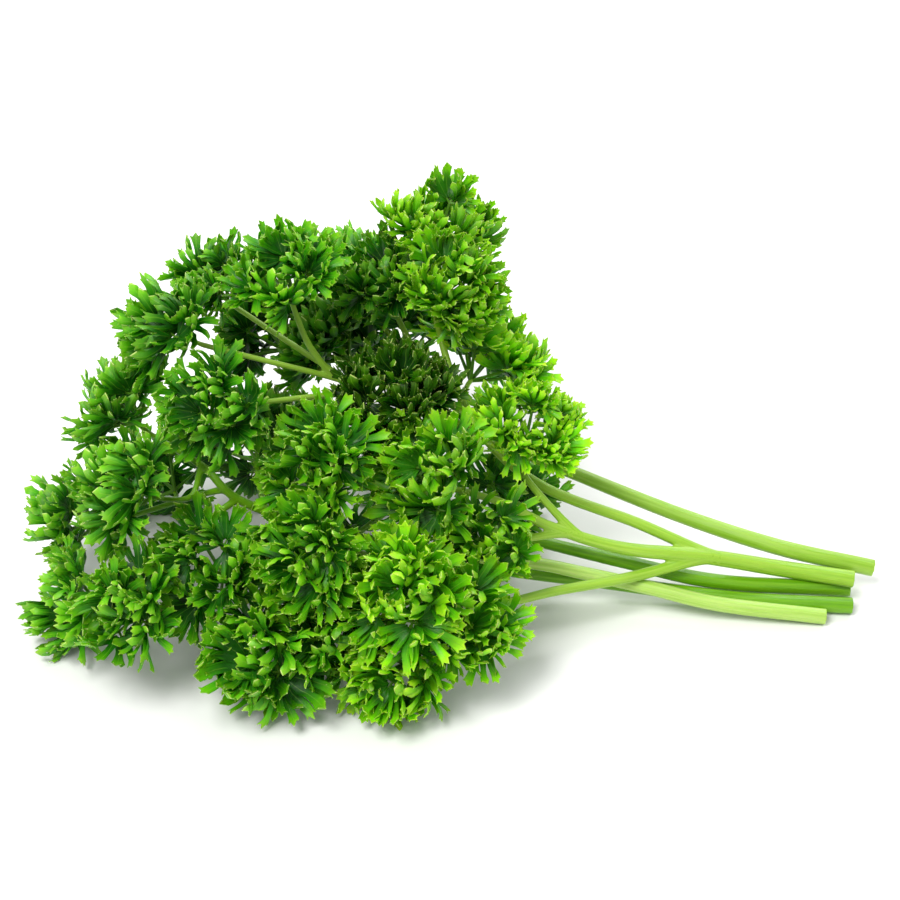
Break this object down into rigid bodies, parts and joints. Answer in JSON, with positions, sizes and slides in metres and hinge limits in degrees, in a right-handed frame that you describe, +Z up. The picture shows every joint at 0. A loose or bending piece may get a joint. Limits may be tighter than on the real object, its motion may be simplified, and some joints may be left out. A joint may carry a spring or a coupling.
{
  "type": "curly parsley bunch",
  "caption": "A small bunch of cut curly parsley lying on its side, its forked green stalks to one end and its frilled leaf heads fanned out at the other.",
  "frame": {"origin": "middle of the bunch's bounding box, on the surface it lies on", "axes": "+X along the bunch towards the stalks' cut ends, +Z up from the surface, +Y across the bunch to its back"},
  "size_m": [0.2064, 0.1296, 0.0896],
  "materials": {
    "sprig1_leaves": null,
    "sprig1_stalk": null,
    "sprig2_leaves": null,
    "sprig2_stalk": null,
    "sprig3_leaves": null,
    "sprig3_stalk": null,
    "sprig4_leaves": null,
    "sprig4_stalk": null,
    "sprig5_leaves": null,
    "sprig5_stalk": null
  },
  "bodies": {
    "root": {"sprig1_leaf_a": "sprig1_leaves", "sprig1_leaf_b": "sprig1_leaves", "sprig1_leaf_c": "sprig1_leaves", "sprig1_leaf_d": "sprig1_leaves", "sprig1_leaf_e": "sprig1_leaves", "sprig1_leaf_f": "sprig1_leaves", "sprig1_leaf_g": "sprig1_leaves", "sprig1_leaf_h": "sprig1_leaves", "sprig1_leaf_i": "sprig1_leaves", "sprig1_stalk": "sprig1_stalk", "sprig2_leaf_a": "sprig2_leaves", "sprig2_leaf_b": "sprig2_leaves", "sprig2_leaf_c": "sprig2_leaves", "sprig2_leaf_d": "sprig2_leaves", "sprig2_leaf_e": "sprig2_leaves", "sprig2_leaf_f": "sprig2_leaves", "sprig2_leaf_g": "sprig2_leaves", "sprig2_leaf_h": "sprig2_leaves", "sprig2_leaf_i": "sprig2_leaves", "sprig2_stalk": "sprig2_stalk", "sprig3_leaf_a": "sprig3_leaves", "sprig3_leaf_b": "sprig3_leaves", "sprig3_leaf_c": "sprig3_leaves", "sprig3_leaf_d": "sprig3_leaves", "sprig3_leaf_e": "sprig3_leaves", "sprig3_leaf_f": "sprig3_leaves", "sprig3_stalk": "sprig3_stalk", "sprig4_leaf_a": "sprig4_leaves", "sprig4_leaf_b": "sprig4_leaves", "sprig4_leaf_c": "sprig4_leaves", "sprig4_leaf_d": "sprig4_leaves", "sprig4_leaf_e": "sprig4_leaves", "sprig4_stalk": "sprig4_stalk", "sprig5_leaf_a": "sprig5_leaves", "sprig5_leaf_b": "sprig5_leaves", "sprig5_leaf_c": "sprig5_leaves", "sprig5_leaf_d": "sprig5_leaves", "sprig5_leaf_e": "sprig5_leaves", "sprig5_leaf_f": "sprig5_leaves", "sprig5_stalk": "sprig5_stalk"}
  },
  "joints": []
}
